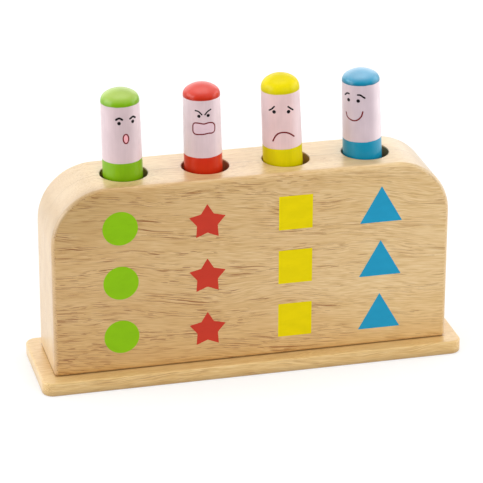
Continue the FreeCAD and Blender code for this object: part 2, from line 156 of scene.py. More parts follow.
YELLOW_MOUTH = [(-8.7, 15.1), (-6.8, 18.5), (-4.5, 20.4), (-1.5, 20.8), (1.6, 19.8), (5.0, 17.2)]
BLUE_MOUTH = [
    (-13.9, 28.1), (-13.1, 25.7), (-10.8, 24.2), (-7.9, 23.7), (-5.4, 24.6), (-3.4, 26.7), (-2.4, 29.6),
]

# ---------------------------------------------------------------- colours

WOOD_LIGHT = (231, 199, 146)
WOOD_DARK = (221, 184, 126)
WOOD_STREAK = (198, 155, 92)
WOOD_PALE = (245, 220, 176)
WOOD_PORE = (148, 84, 6)
LEFT_TONE_AND_SHADE = (238, 228, 213)  # tints the front towards its left, partly the wood's own tone and partly painted shade
WOOD_DENSE = (240, 239, 232)  # tints the front's upper left, where the grain lies closer
FRONT_FOOT_SHADE = (247, 239, 220)  # painted shade: darkens the front towards its foot
WOOD_SLANT = (242, 244, 249)  # tints the block where a round corner cuts across the grain
BASE_TINT = (255, 251, 234)
END_WOOD = (205, 176, 140)
# painted shade inside the bores
BORE_SHADE = (188, 146, 94)
GLUE = (150, 112, 66)
CONTACT_SHADE = (128, 86, 30)  # painted shade under the block's edge and along the base's foot
PAINT = {
    "green": (140, 194, 22),
    "red": (201, 62, 46),
    "yellow": (232, 211, 4),
    "blue": (38, 153, 193),
}
PEG_PAINT = {
    "green": (127, 178, 8),
    "red": (208, 46, 14),
    "yellow": (219, 205, 0),
    "blue": (4, 143, 180),
}
# painted sheen, towards which a cap's paint pales at the dome's top
CAP_SHEEN = {
    "green": (173, 201, 94),
    "red": (224, 88, 78),
    "yellow": (236, 217, 6),
    "blue": (127, 184, 215),
}
FACE_PAINT = {
    "green": (215, 192, 196),
    "red": (224, 200, 204),
    "yellow": (231, 198, 197),
    "blue": (213, 194, 202),
}
FACE_SIDE_SHEEN = (245, 228, 233)  # painted sheen, towards which a face's paint pales round the peg's sides
LINE_PAINT = (18, 8, 14)
MOUTH_PAINT = (118, 16, 24)
MOUTH_PINK = {"green": (252, 182, 190), "red": (228, 198, 207)}
STEEL = (184, 184, 188)
GALVANISED = (170, 170, 172)
ZINC = (186, 182, 164)

# ---------------------------------------------------------------- marks
# An edge is the two values between which a smooth step runs. A relief is its depth and its strength. A shade
# multiplies a colour.

NOISE_LOW = 0.3  # most of a noise lies from here
NOISE_MIDDLE = 0.5
NOISE_HIGH = 0.7  # to here
FINE_ROUGHNESS = 0.6  # of a noise with fine detail

# Length along the grain, and width across it.
TONE_MARK = (120, 11)
FIBRE_MARK = (12, 0.5)
CROWD_MARK = (50, 8)  # a patch where the pores crowd
SHORT_PORE_MARK = (8, 0.36)
LONG_PORE_MARK = (28, 0.4)

# The grain drifts in long waves and sways in short ones: their size in XYZ, and how far they push it.
DRIFT_WAVE = (90, 40, 40)
DRIFT_PUSH = (0.0, 5.0, 16.0)
SWAY_WAVE = (22, 8, 8)
SWAY_PUSH = (0.0, 0.5, 2.4)

GROWTH_RING = 3.4
RING_EDGE = (0.45, 0.7)
TONE_SHARE = 0.7  # of the darker wood, by the tone
RING_SHARE = 0.3  # and by the growth rings
STREAK_SHARE = 0.52
PALE_SHARE = 0.45
CROWD_EDGE = (0.42, 0.56)
CROWD_SHARE = (0.1, 0.9)
SHORT_PORE_EDGE = (0.66, 0.7)
SHORT_PORE_SHARE = 0.75
LONG_PORE_EDGE = (0.67, 0.71)
PORE_FADE_EDGE = (-10.0, 110.0)  # along X, over which the pores fade
PORES_RIGHT = 0.55  # what is left of them there
TOP_EDGE = (0.2, 0.9)  # of how far up the surface faces
PORES_ON_TOP = 0.4  # what is left of the pores there
WOOD_RELIEF = (0.02, 0.6)
WOOD_ROUGHNESS = (0.46, 0.56)

FRONT_EDGE = (-14.0, -24.0)  # along Y, where the front's tints set in
LEFT_TONE_AND_SHADE_EDGE = (120.0, -110.0)  # along X
DENSE_X_EDGE = (-50.0, -110.0)
DENSE_Z_EDGE = (80.0, 115.0)
FRONT_FOOT_SHADE_EDGE = (60.0, 12.0)  # along Z
END_GRAIN_EDGE = (0.1, 0.9)  # of how far the surface faces along X
END_GRAIN_SHARE = 0.5
SLANT_X_EDGE = (0.05, 0.35)
SLANT_Z_EDGE = (0.02, 0.3)
BORE_SHADE_EDGE = (0.5, 0.15)  # past the bore's radius
BORE_SHADE_SHARE = 0.75
GLUE_EDGE = (0.35, 0.1)  # from the joint between the block's boards
GLUE_SHARE = 0.45
UNDER_BLOCK_SHADE_EDGE = (0.3, -0.8)  # past the block's outline
UNDER_BLOCK_SHADE_SHARE = 0.5
BASE_FOOT_SHADE_EDGE = (5.0, 0.2)  # along Z
BASE_FOOT_SHADE_SHARE = 0.4

EDGE_BLUR = 0.12  # half the height over which one paint turns into the next
EDGE_WAVE = (4, 4, 4)
EDGE_WANDER = 0.5
BRUSH_MARK = (0.8, 0.8, 14)
BRUSH_EDGE = (0.2, 0.8)
BRUSH_SHADE = 0.03
PAINT_CLOUD = (9, 9, 15)
PAINT_SHADE = (0.96, 1.04)
PAINT_RELIEF = (0.02, 0.5)
PAINT_ROUGHNESS = (0.42, 0.52)
LEFT_SHEEN_EDGE = (-0.6, -0.95)  # of how far the surface faces along X
RIGHT_SHEEN_EDGE = (0.2, 0.75)
CAP_SHEEN_RISE = 6.0  # height over which painted sheen pales a cap's paint towards the dome's top
CAP_SHADED_RIM = 2.6  # so high painted shade darkens the foot of a dome
# painted shade at a dome's foot, by which its colour is multiplied
RIM_SHADE = {"green": 0.86, "red": 0.76, "yellow": 0.87, "blue": 0.64}
BARE_RING = (1.6, 1.6, 30)
BARE_RING_EDGE = (0.35, 0.65)
BARE_FOOT_EDGE = (0.3, 0.1)  # of the height, where the bare wood starts

LINE_GLOSS = 0.4
MOUTH_PINK_GLOSS = 0.6
INK_CLOUD = (12, 6, 6)
INK_SHADE = (0.97, 1.03)
INK_PORE = (5, 0.6, 0.6)
INK_PORE_EDGE = (0.6, 0.75)
INK_PORE_SHADE = 0.05
INK_RELIEF = (0.015, 0.5)
INK_ROUGHNESS = (0.45, 0.55)

METAL_SHADE = (0.86, 1.06)
METAL_RELIEF = (0.01, 0.4)


def linear(colour):
    """The RGBA that Blender's shader sockets take, from sRGB 0 to 255."""
    parts = [c / 255 for c in colour]
    parts = [c / 12.92 if c <= 0.04045 else ((c + 0.055) / 1.055) ** 2.4 for c in parts]
    return (*parts, 1.0)


# ---------------------------------------------------------------- materials


class Paintbox:
    """A material's node tree, with short calls for the nodes that the materials here use."""

    def __init__(self, name):
        self.material = bpy.data.materials.new(name)
        self.material.use_nodes = True
        self.tree = self.material.node_tree
        self.shader = self.tree.nodes["Principled BSDF"]
        place = self.node("ShaderNodeTexCoord").outputs["Object"]
        self.place = self.vector("MULTIPLY", place, (1 / MM, 1 / MM, 1 / MM))

    def node(self, kind, inputs=None, **settings):
        made = self.tree.nodes.new(kind)
        for key, value in settings.items():
            setattr(made, key, value)
        for key, value in (inputs or {}).items():
            self.feed(made.inputs[key], value)
        return made

    def feed(self, socket, value):
        if isinstance(value, bpy.types.NodeSocket):
            self.tree.links.new(value, socket)
        else:
            socket.default_value = value

    def maths(self, operation, *values):
        return self.node("ShaderNodeMath", dict(enumerate(values)), operation=operation).outputs[0]

    def product(self, first, second):
        return self.maths("MULTIPLY", first, second)

    def vector(self, operation, *values):
        made = self.node("ShaderNodeVectorMath", dict(enumerate(values)), operation=operation)
        return made.outputs["Value" if operation in ("DOT_PRODUCT", "LENGTH") else "Vector"]

    def parts(self, vector):
        """The X, Y and Z of a vector."""
        return self.node("ShaderNodeSeparateXYZ", {"Vector": vector}).outputs

    def facing(self):
        """The X, Y and Z of the way that the surface faces."""
        return self.parts(self.node("ShaderNodeNewGeometry").outputs["Normal"])

    def noise(self, place, detail, roughness=0.5, output="Fac"):
        inputs = {"Vector": place, "Scale": 1.0, "Detail": detail, "Roughness": roughness}
        return self.node("ShaderNodeTexNoise", inputs).outputs[output]

    def marks(self, place, size, detail, roughness=0.5, output="Fac"):
        """A noise with marks of about that size in XYZ."""
        place = self.vector("MULTIPLY", place, tuple(1 / length for length in size))
        return self.noise(place, detail, roughness, output)

    def wave(self, place, size, push):
        """A vector that wanders about zero, in waves of about that size and as far as push lets it."""
        wandering = self.marks(place, size, detail=1.0, output="Color")
        wandering = self.vector("SUBTRACT", wandering, (NOISE_MIDDLE, NOISE_MIDDLE, NOISE_MIDDLE))
        return self.vector("MULTIPLY", wandering, push)

    def step(self, value, start, end, low=0.0, high=1.0):
        """A smooth step from low at start to high at end."""
        inputs = {"Value": value, "From Min": start, "From Max": end, "To Min": low, "To Max": high}
        return self.node("ShaderNodeMapRange", inputs, interpolation_type="SMOOTHSTEP").outputs[0]

    def spread(self, value, low, high):
        """A noise's usual range, spread from low to high."""
        return self.step(value, NOISE_LOW, NOISE_HIGH, low, high)

    def mix(self, share, first, second, blend="MIX"):
        made = self.node("ShaderNodeMix", data_type="RGBA", blend_type=blend)
        sockets = {s.identifier: s for s in made.inputs}
        self.feed(sockets["Factor_Float"], share)
        self.feed(sockets["A_Color"], first)
        self.feed(sockets["B_Color"], second)
        return next(s for s in made.outputs if s.identifier == "Result_Color")

    def tint(self, share, colour, tint):
        """The colour, multiplied by the tint where share is 1."""
        return self.mix(share, colour, self.mix(1.0, colour, linear(tint), "MULTIPLY"))

    def shade(self, colour, value):
        """The colour, multiplied by a value."""
        grey = self.node("ShaderNodeCombineColor", {"Red": value, "Green": value, "Blue": value})
        return self.mix(1.0, colour, grey.outputs[0], "MULTIPLY")

    def bump(self, height, depth, strength):
        """A relief of depth millimetres for a height from 0 to 1."""
        inputs = {"Height": height, "Distance": depth * MM, "Strength": strength}
        self.feed(self.shader.inputs["Normal"], self.node("ShaderNodeBump", inputs).outputs[0])

    def finish(self, colour, roughness, **constants):
        """Feeds colour and roughness, and sets the constants on the shader's own sockets."""
        self.feed(self.shader.inputs["Base Color"], colour)
        self.feed(self.shader.inputs["Roughness"], roughness)
        for key, value in constants.items():
            self.shader.inputs[key.replace("_", " ")].default_value = value
        return self.material


def bent_grain(box, shift, slope):
    """The place in the tree, with X along the grain as it slopes, drifts and sways."""
    turned = {"Vector": box.vector("ADD", box.place, shift), "Angle": -slope}
    place = box.node("ShaderNodeVectorRotate", turned, rotation_type="Y_AXIS").outputs[0]
    drifted = box.vector("ADD", place, box.wave(place, DRIFT_WAVE, DRIFT_PUSH))
    return box.vector("ADD", drifted, box.wave(place, SWAY_WAVE, SWAY_PUSH))


def tone_and_shade_front(box, colour, side):
    """Tints the block's front towards its left, partly as painted shade, and in its upper left corner, and
    darkens it towards its foot with painted shade.
    """
    front = box.step(side["Y"], *FRONT_EDGE)
    # towards the left: partly the wood's tone, partly painted shade
    colour = box.tint(box.product(box.step(side["X"], *LEFT_TONE_AND_SHADE_EDGE), front), colour, LEFT_TONE_AND_SHADE)
    corner = box.product(box.step(side["X"], *DENSE_X_EDGE), box.step(side["Z"], *DENSE_Z_EDGE))
    colour = box.tint(box.product(corner, front), colour, WOOD_DENSE)
    # painted shade towards the front's foot
    return box.tint(box.product(box.step(side["Z"], *FRONT_FOOT_SHADE_EDGE), front), colour, FRONT_FOOT_SHADE)


def mark_block(box, colour, side, facing):
    """Gives the block its end grain, painted shade in its bores and the glue between its boards."""
    sideways = box.maths("ABSOLUTE", facing["X"])
    end = box.step(sideways, *END_GRAIN_EDGE, 0.0, END_GRAIN_SHARE)
    colour = box.mix(end, colour, linear(END_WOOD))
    slant = box.product(box.step(sideways, *SLANT_X_EDGE), box.step(facing["Z"], *SLANT_Z_EDGE))
    colour = box.tint(slant, colour, WOOD_SLANT)

    # painted shade darkens the bores' walls
    along = box.maths("SUBTRACT", side["X"], BORE_FIRST - BORE_PITCH / 2)
    along = box.maths("SUBTRACT", box.maths("FLOORED_MODULO", along, BORE_PITCH), BORE_PITCH / 2)
    out = box.node("ShaderNodeCombineXYZ", {"X": along, "Y": side["Y"]}).outputs[0]
    inside = box.step(box.vector("LENGTH", out), *(BORE_RADIUS + past for past in BORE_SHADE_EDGE))
    in_row = box.maths("LESS_THAN", box.maths("ABSOLUTE", side["X"]), BORE_ROW_REACH)
    bore = box.mix(BORE_SHADE_SHARE, colour, linear(BORE_SHADE))
    colour = box.mix(box.product(inside, in_row), colour, bore)

    joint = box.step(box.maths("ABSOLUTE", side["Y"]), *GLUE_EDGE, 0.0, GLUE_SHARE)
    return box.mix(joint, colour, linear(GLUE))


def mark_base(box, colour, side):
    """Gives the base board its tint, and painted shade under the block's edge and along its own foot."""
    colour = box.mix(1.0, colour, linear(BASE_TINT), "MULTIPLY")
    past_end = box.maths("SUBTRACT", box.maths("ABSOLUTE", side["X"]), BLOCK_SIZE[0] / 2)
    past_face = box.maths("SUBTRACT", box.maths("ABSOLUTE", side["Y"]), BLOCK_SIZE[1] / 2)
    past = box.maths("MAXIMUM", past_end, past_face)
    # painted shade: darker under the block's edge and along the base's foot
    under = box.step(past, *UNDER_BLOCK_SHADE_EDGE, 0.0, UNDER_BLOCK_SHADE_SHARE)
    foot = box.step(side["Z"], *BASE_FOOT_SHADE_EDGE, 0.0, BASE_FOOT_SHADE_SHARE)
    return box.mix(box.maths("MAXIMUM", under, foot), colour, linear(CONTACT_SHADE))


def grained_wood(name, shift, pith, slope, pored, bored=False, toned_and_shaded=False):
    """Lacquered light hardwood, with its grain along X or at a slope to it, in radians.

    shift picks its place in the tree, pith is the tree's middle in YZ, and pored is the strength of its dark
    pores. Bored wood is the block's, with painted shade in its bores. Other wood is the base's, with painted
    shade under the block and along its foot. toned_and_shaded wood is the block's front, with painted shade
    at its foot and, in part, towards its left.
    """
    box = Paintbox(name)
    side = box.parts(box.place)
    facing = box.facing()
    bent = bent_grain(box, shift, slope)

    def streaks(mark, detail):
        length, width = mark
        return box.marks(bent, (length, width, width), detail, FINE_ROUGHNESS)

    tone = streaks(TONE_MARK, detail=2.0)
    from_pith = box.vector("SUBTRACT", bent, (0.0, pith[0] + shift[1], pith[1] + shift[2]))
    ring = box.vector("LENGTH", box.vector("MULTIPLY", from_pith, (0.0, 1.0, 1.0)))
    ring = box.maths("DIVIDE", ring, GROWTH_RING)
    rings = box.noise(box.node("ShaderNodeCombineXYZ", {"X": ring}).outputs[0], detail=1.0)
    dark = box.step(rings, *RING_EDGE, 0.0, RING_SHARE)
    dark = box.maths("ADD", box.spread(tone, 0.0, TONE_SHARE), dark)
    colour = box.mix(dark, linear(WOOD_LIGHT), linear(WOOD_DARK))

    fibre = streaks(FIBRE_MARK, detail=1.0)
    streaked = box.step(fibre, NOISE_MIDDLE, NOISE_HIGH, 0.0, STREAK_SHARE)
    colour = box.mix(streaked, colour, linear(WOOD_STREAK))
    paled = box.step(fibre, NOISE_MIDDLE, NOISE_LOW, 0.0, PALE_SHARE)
    colour = box.mix(paled, colour, linear(WOOD_PALE))

    short = box.step(streaks(SHORT_PORE_MARK, detail=0.0), *SHORT_PORE_EDGE, 0.0, SHORT_PORE_SHARE)
    long = box.step(streaks(LONG_PORE_MARK, detail=0.0), *LONG_PORE_EDGE)
    crowd = box.step(streaks(CROWD_MARK, detail=1.0), *CROWD_EDGE, *CROWD_SHARE)
    crowd = box.product(crowd, box.step(side["X"], *PORE_FADE_EDGE, pored, PORES_RIGHT * pored))
    crowd = box.product(crowd, box.step(facing["Z"], *TOP_EDGE, 1.0, PORES_ON_TOP))
    pores = box.product(box.maths("MAXIMUM", short, long), crowd)
    colour = box.mix(pores, colour, linear(WOOD_PORE))

    if toned_and_shaded:
        colour = tone_and_shade_front(box, colour, side)
    if bored:
        colour = mark_block(box, colour, side, facing)
    else:
        colour = mark_base(box, colour, side)
    box.bump(box.maths("SUBTRACT", fibre, pores), *WOOD_RELIEF)
    rough = box.spread(tone, *WOOD_ROUGHNESS)
    return box.finish(
        colour, rough, Specular_IOR_Level=0.2, Coat_Weight=1.0, Coat_Roughness=0.3, Coat_IOR=1.5)


def peg_paint(name, peg):
    """Satin paint on a turned peg: colour at the foot and the cap, and a pale zone for the face between them.

    Painted sheen pales the face towards the peg's sides and the cap towards the dome's top, and painted shade
    darkens the dome's foot. The underside of the foot is bare wood.
    """
    box = Paintbox(name)
    height = box.vector("DOT_PRODUCT", box.vector("SUBTRACT", box.place, peg.foot), peg.axis)
    wander = box.marks(box.place, EDGE_WAVE, detail=3.0)
    edge = box.product(box.maths("SUBTRACT", wander, NOISE_MIDDLE), EDGE_WANDER)
    edge = box.maths("ADD", height, edge)
    above = box.step(edge, peg.cap - EDGE_BLUR, peg.cap + EDGE_BLUR)
    below = box.step(edge, peg.band + EDGE_BLUR, peg.band - EDGE_BLUR)

    facing = box.facing()
    # painted sheen pales the face towards the peg's sides
    left = box.step(facing["X"], *LEFT_SHEEN_EDGE, 0.0, peg.sides[0])
    right = box.step(facing["X"], *RIGHT_SHEEN_EDGE, 0.0, peg.sides[1])
    pale = box.mix(box.maths("ADD", left, right), linear(FACE_PAINT[peg.colour]), linear(FACE_SIDE_SHEEN))
    colour = box.mix(box.maths("MAXIMUM", above, below), pale, linear(PEG_PAINT[peg.colour]))
    # painted shade darkens the dome's foot
    painted_rim_shade = box.step(height, peg.cap, peg.cap + CAP_SHADED_RIM, RIM_SHADE[peg.colour], 1.0)
    colour = box.mix(above, colour, box.shade(colour, painted_rim_shade))
    # painted sheen pales the dome towards its top
    ink_thinning_and_cap_sheen = box.step(height, peg.cap + CAP_SHADED_RIM / 2, peg.cap + CAP_SHEEN_RISE)
    colour = box.mix(box.product(above, ink_thinning_and_cap_sheen), colour, linear(CAP_SHEEN[peg.colour]))

    brushed = box.marks(box.place, BRUSH_MARK, detail=3.0, roughness=FINE_ROUGHNESS)
    cloud = box.marks(box.place, PAINT_CLOUD, detail=2.0)
    lively = box.step(brushed, *BRUSH_EDGE, -BRUSH_SHADE, BRUSH_SHADE)
    colour = box.shade(colour, box.maths("ADD", lively, box.spread(cloud, *PAINT_SHADE)))
    rings = box.step(box.marks(box.place, BARE_RING, detail=2.0), *BARE_RING_EDGE)
    bare = box.mix(rings, linear(WOOD_LIGHT), linear(WOOD_DARK))
    colour = box.mix(box.step(height, *BARE_FOOT_EDGE), colour, bare)
    box.bump(box.maths("ADD", brushed, wander), *PAINT_RELIEF)
    rough = box.spread(cloud, *PAINT_ROUGHNESS)
    return box.finish(colour, rough, Specular_IOR_Level=0.0, Coat_Weight=peg.gloss, Coat_Roughness=0.28)


def ink(name, colour, gloss=0.0):
    """Screen ink or a painted line: nearly even, and thinner where the wood's pores run below it."""
    box = Paintbox(name)
    cloud = box.marks(box.place, INK_CLOUD, detail=3.0)
    pore = box.marks(box.place, INK_PORE, detail=2.0)
    ink_thinning_and_cap_sheen = box.step(pore, *INK_PORE_EDGE, 0.0, INK_PORE_SHADE)
    lively = box.maths("SUBTRACT", box.spread(cloud, *INK_SHADE), ink_thinning_and_cap_sheen)
    box.bump(pore, *INK_RELIEF)
    colour = box.shade(linear(colour), lively)
    rough = box.spread(cloud, *INK_ROUGHNESS)
    return box.finish(colour, rough, Specular_IOR_Level=0.1, Coat_Weight=gloss, Coat_Roughness=0.3)


def metal(name, colour, fineness, roughness):
    """Bare or plated metal with fine marks, about fineness of them to a millimetre.

    roughness is the least and the most.
    """
    box = Paintbox(name)
    place = box.vector("MULTIPLY", box.place, (fineness, fineness, fineness))
    marks = box.noise(place, detail=3.0, roughness=FINE_ROUGHNESS)
    box.bump(marks, *METAL_RELIEF)
    colour = box.shade(linear(colour), box.spread(marks, *METAL_SHADE))
    return box.finish(colour, box.spread(marks, *roughness), Metallic=1.0)


# ---------------------------------------------------------------- mesh helpers


def piece(name, shape, material, body):
    """Makes an object of a bmesh in millimetres, with smooth sides and crisp edges, that rides on a body."""
    shape.normal_update()
    bmesh.ops.recalc_face_normals(shape, faces=shape.faces)
    bmesh.ops.scale(shape, vec=(MM, MM, MM), verts=shape.verts)
    mesh = bpy.data.meshes.new(name)
    shape.to_mesh(mesh)
    shape.free()
    mesh.shade_smooth()
    mesh.set_sharp_from_angle(angle=math.radians(SHARP_ANGLE))
    made = bpy.data.objects.new(name, mesh)
    bpy.context.scene.collection.objects.link(made)
    mesh.materials.append(material)
    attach(made, body)
    return made


def bridge(shape, near, far):
    """Joins two rings of as many points with a band of faces."""
    for k in range(len(near)):
        after = (k + 1) % len(near)
        shape.faces.new((near[k], near[after], far[after], far[k]))


def smooth_path(points, closed=False):
    """Points about LINE_STEP apart on a Catmull-Rom line through the given points."""
    count = len(points)
    spans = count if closed else count - 1
    path = []
    for k in range(spans):
        if closed:
            before, start, end, after = (Vector(points[(k + n) % count]) for n in (-1, 0, 1, 2))
        else:
            before, start, end, after = (Vector(points[min(max(k + n, 0), count - 1)]) for n in (-1, 0, 1, 2))
        steps = max(2, round((end - start).length / LINE_STEP))
        for step in range(steps):
            t = step / steps
            bend = 2 * before - 5 * start + 4 * end - after
            turn = 3 * start - before - 3 * end + after
            path.append(start + (end - before) * (t / 2) + bend * (t * t / 2) + turn * (t ** 3 / 2))
    return path if closed else path + [Vector(points[-1])]


# ---------------------------------------------------------------- prints on the block


def rounded(corners, radius):
    """The outline with each corner cut back by radius and turned smoothly."""
    outline = []
    for k, corner in enumerate(corners):
        start = corner + (corners[k - 1] - corner).normalized() * radius
        end = corner + (corners[(k + 1) % len(corners)] - corner).normalized() * radius
        for step in range(CORNER_STEPS + 1):
            t = step / CORNER_STEPS
            outline.append(start * (1 - t) ** 2 + corner * (2 * t * (1 - t)) + end * t * t)
    return outline


def around(radius, count, start=0.0):
    """Points on a circle, from start degrees clockwise from the top."""
    turns = (math.radians(start + 360 * k / count) for k in range(count))
    return [Vector((radius * math.sin(turn), radius * math.cos(turn))) for turn in turns]


def circle_outline():
    return around(CIRCLE_DIAMETER / 2, CIRCLE_SIDES)


def star_outline():
    tips = around(STAR_TIP_RADIUS, STAR_TIPS)
    notches = around(STAR_NOTCH_RADIUS, STAR_TIPS, 180 / STAR_TIPS)
    corners = [point for pair in zip(tips, notches) for point in pair]
    middle = (tips[0].y + tips[2].y) / 2
    return rounded([point - Vector((0, middle)) for point in corners], PRINT_CORNER)


def square_outline():
    x, z = SQUARE_SIZE[0] / 2, SQUARE_SIZE[1] / 2
    return rounded([Vector(p) for p in ((-x, -z), (x, -z), (x, z), (-x, z))], PRINT_CORNER)


def triangle_outline():
    half, rise = TRIANGLE_BASE / 2, TRIANGLE_HEIGHT / 2
    return rounded([Vector(p) for p in ((-half, -rise), (half, -rise), (0, rise))], PRINT_CORNER)


def print_shape(outline, x, z, front):
    """A thin closed sheet of ink with the outline, half sunk in the block's front."""
    shape = bmesh.new()
    rings = []
    for y in (front - PRINT_PROUD, front + PRINT_SUNK):
        rings.append([shape.verts.new((x + p.x, y, z + p.y)) for p in outline])
        shape.faces.new(rings[-1])
    bridge(shape, *rings)
    shape.normal_update()
    bmesh.ops.triangulate(shape, faces=[f for f in shape.faces if len(f.verts) > 4])
    return shape


# ---------------------------------------------------------------- pegs and springs


class Peg:
    """Where a peg stands, and how a point of its painted side is reached."""

    def __init__(self, colour):
        self.colour = colour
        self.foot_radius = PEGS[colour]["foot"]
        self.band = PEGS[colour]["band"]
        self.cap = PEGS[colour]["cap"]
        self.gloss = PEGS[colour]["gloss"]
        self.sides = PEGS[colour]["sides"]
        joint = next(j for j in frame["joints"] if j["name"] == f"lift_{colour}")
        self.axis = Vector(joint["axis"]).normalized()
        self.front = Vector((0, -1, 0))
        self.side = self.axis.cross(self.front)
        points = [v.co / MM for v in frame["nodes"][f"peg_{colour}"].data.vertices]
        low = min(p.dot(self.axis) for p in points)
        across = [p.dot(self.side) for p in points]
        self.foot = self.axis * low + self.side * ((min(across) + max(across)) / 2)

    def at(self, way, height, lift):
        """The point at that way round and height of a face, lift above the paint."""
        height = height + FACE_RISE
        share = (height - PEG_BEVEL) / (PEG_SHOULDER - PEG_BEVEL)
        radius = self.foot_radius - PEG_TAPER * share
        turn = way / radius
        out = self.side * math.sin(turn) + self.front * math.cos(turn)
        return self.foot + self.axis * height + out * (radius + lift)


def add_stroke(shape, peg, path, width, closed=False):
    """Adds a line of paint along a path on the peg, with round ends."""
    half = width / 2
    stations = []
    count = len(path)
    for k, point in enumerate(path):
        before = path[k - 1] if closed or k else point
        after = path[(k + 1) % count] if closed or k < count - 1 else point
        stations.append((point, (after - before).normalized(), half))
    if not closed:
        first, last = stations[0], stations[-1]
        turns = [math.radians(turn) for turn in ROUND_END]
        start = [(first[0] - first[1] * half * math.cos(t), first[1], half * math.sin(t)) for t in turns]
        end = [(last[0] + last[1] * half * math.cos(t), last[1], half * math.sin(t)) for t in reversed(turns)]
        stations = start + stations + end
    rings = []
    for point, way, reach in stations:
        across = Vector((-way.y, way.x)) * reach
        edges = ((point - across, -PAINT_SUNK), (point + across, -PAINT_SUNK),
                 (point + across, PAINT_PROUD), (point - across, PAINT_PROUD))
        rings.append([shape.verts.new(peg.at(p.x, p.y, lift)) for p, lift in edges])
    for near, far in zip(rings, rings[1:] + rings[:1] if closed else rings[1:]):
        bridge(shape, near, far)
    if not closed:
        shape.faces.new(rings[0])
        shape.faces.new(rings[-1])


def add_patch(shape, peg, outline, lift=PAINT_PROUD):
    """Adds a filled shape of paint on the peg, inside an outline."""
    middle = sum(outline, Vector((0, 0))) / len(outline)
    reach = max((p - middle).length for p in outline)
    steps = max(PATCH_LEAST_RINGS, math.ceil(reach / PATCH_STEP))

    def ring(share, height):
        spots = (middle + (p - middle) * share for p in outline)
        return [shape.verts.new(peg.at(p.x, p.y, height)) for p in spots]

    top = [ring((k + 1) / steps, lift) for k in range(steps)]
    bottom = ring(1.0, -PAINT_SUNK)
    shape.faces.new(top[0])
    for near, far in zip(top, top[1:] + [bottom]):
        bridge(shape, near, far)
    shape.faces.new(bottom)


def oval_path(centre, half):
    turned = around(1.0, OVAL_SIDES)
    return [Vector((centre[0] + p.x * half[0], centre[1] + p.y * half[1])) for p in turned]


def coil_mesh(x, low, high):
    """A spring of round wire about a bore's axis, with a flat coil at each end."""
    flat = math.radians(SPRING_END_TURN)
    rising = 2 * math.pi * SPRING_TURNS
    count = round(SPRING_STEPS * (rising + 2 * flat) / (2 * math.pi))
    start, end = low + SPRING_WIRE_RADIUS, high - SPRING_WIRE_RADIUS
    path = []
    for k in range(count + 1):
        turn = -flat + (rising + 2 * flat) * k / count
        risen = min(max(turn / rising, 0.0), 1.0)
        out = Vector((math.cos(turn), math.sin(turn), 0.0))
        path.append((Vector((x, 0.0, start + risen * (end - start))) + out * SPRING_RADIUS, out))
    shape = bmesh.new()
    rings = []
    for point, out in path:
        ring = []
        for side in range(SPRING_SIDES):
            turn = 2 * math.pi * side / SPRING_SIDES
            offset = out * math.cos(turn) + Vector((0, 0, math.sin(turn)))
            ring.append(shape.verts.new(point + offset * SPRING_WIRE_RADIUS))
        rings.append(ring)
    for near, far in zip(rings, rings[1:]):
        bridge(shape, near, far)
    shape.faces.new(rings[0])
    shape.faces.new(rings[-1])
    return shape


# ---------------------------------------------------------------- the toy

nodes = frame["nodes"]
front_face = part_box("block_front_board")[0].y / MM

nodes["base_board"].data.materials[0] = grained_wood(
    "base_wood_looks", shift=(310.0, 40.0, 5.0), pith=(20.0, -70.0), slope=0.01, pored=0.5)
nodes["block_front_board"].data.materials[0] = grained_wood(
    "front_wood_looks", shift=(0.0, 0.0, 0.0), pith=(85.0, 45.0), slope=0.08, pored=1.0,
    bored=True, toned_and_shaded=True)
nodes["block_back_board"].data.materials[0] = grained_wood(
    "back_wood_looks", shift=(150.0, 90.0, 70.0), pith=(-80.0, 60.0), slope=0.03, pored=1.0, bored=True)
nodes["spring_staples"].data.materials[0] = metal(
    "staple_looks", GALVANISED, fineness=2.0, roughness=(0.3, 0.5))
nodes["base_screws"].data.materials[0] = metal(
    "screw_looks", ZINC, fineness=3.0, roughness=(0.28, 0.45))
wire_metal = metal("wire_looks", STEEL, fineness=1.5, roughness=(0.2, 0.36))

outlines = (circle_outline, star_outline, square_outline, triangle_outline)
for colour, outline, x in zip(COLOURS, outlines, PRINT_COLUMNS):
    print_ink = ink(f"ink_{colour}", PAINT[colour])
    for row in range(PRINT_ROWS):
        z = PRINT_MIDDLE_ROW + PRINT_ROW_PITCH * (1 - row)
        shape = print_shape(outline(), x, z, front_face)
        piece(f"print_{colour}_{row + 1}", shape, print_ink, "block")

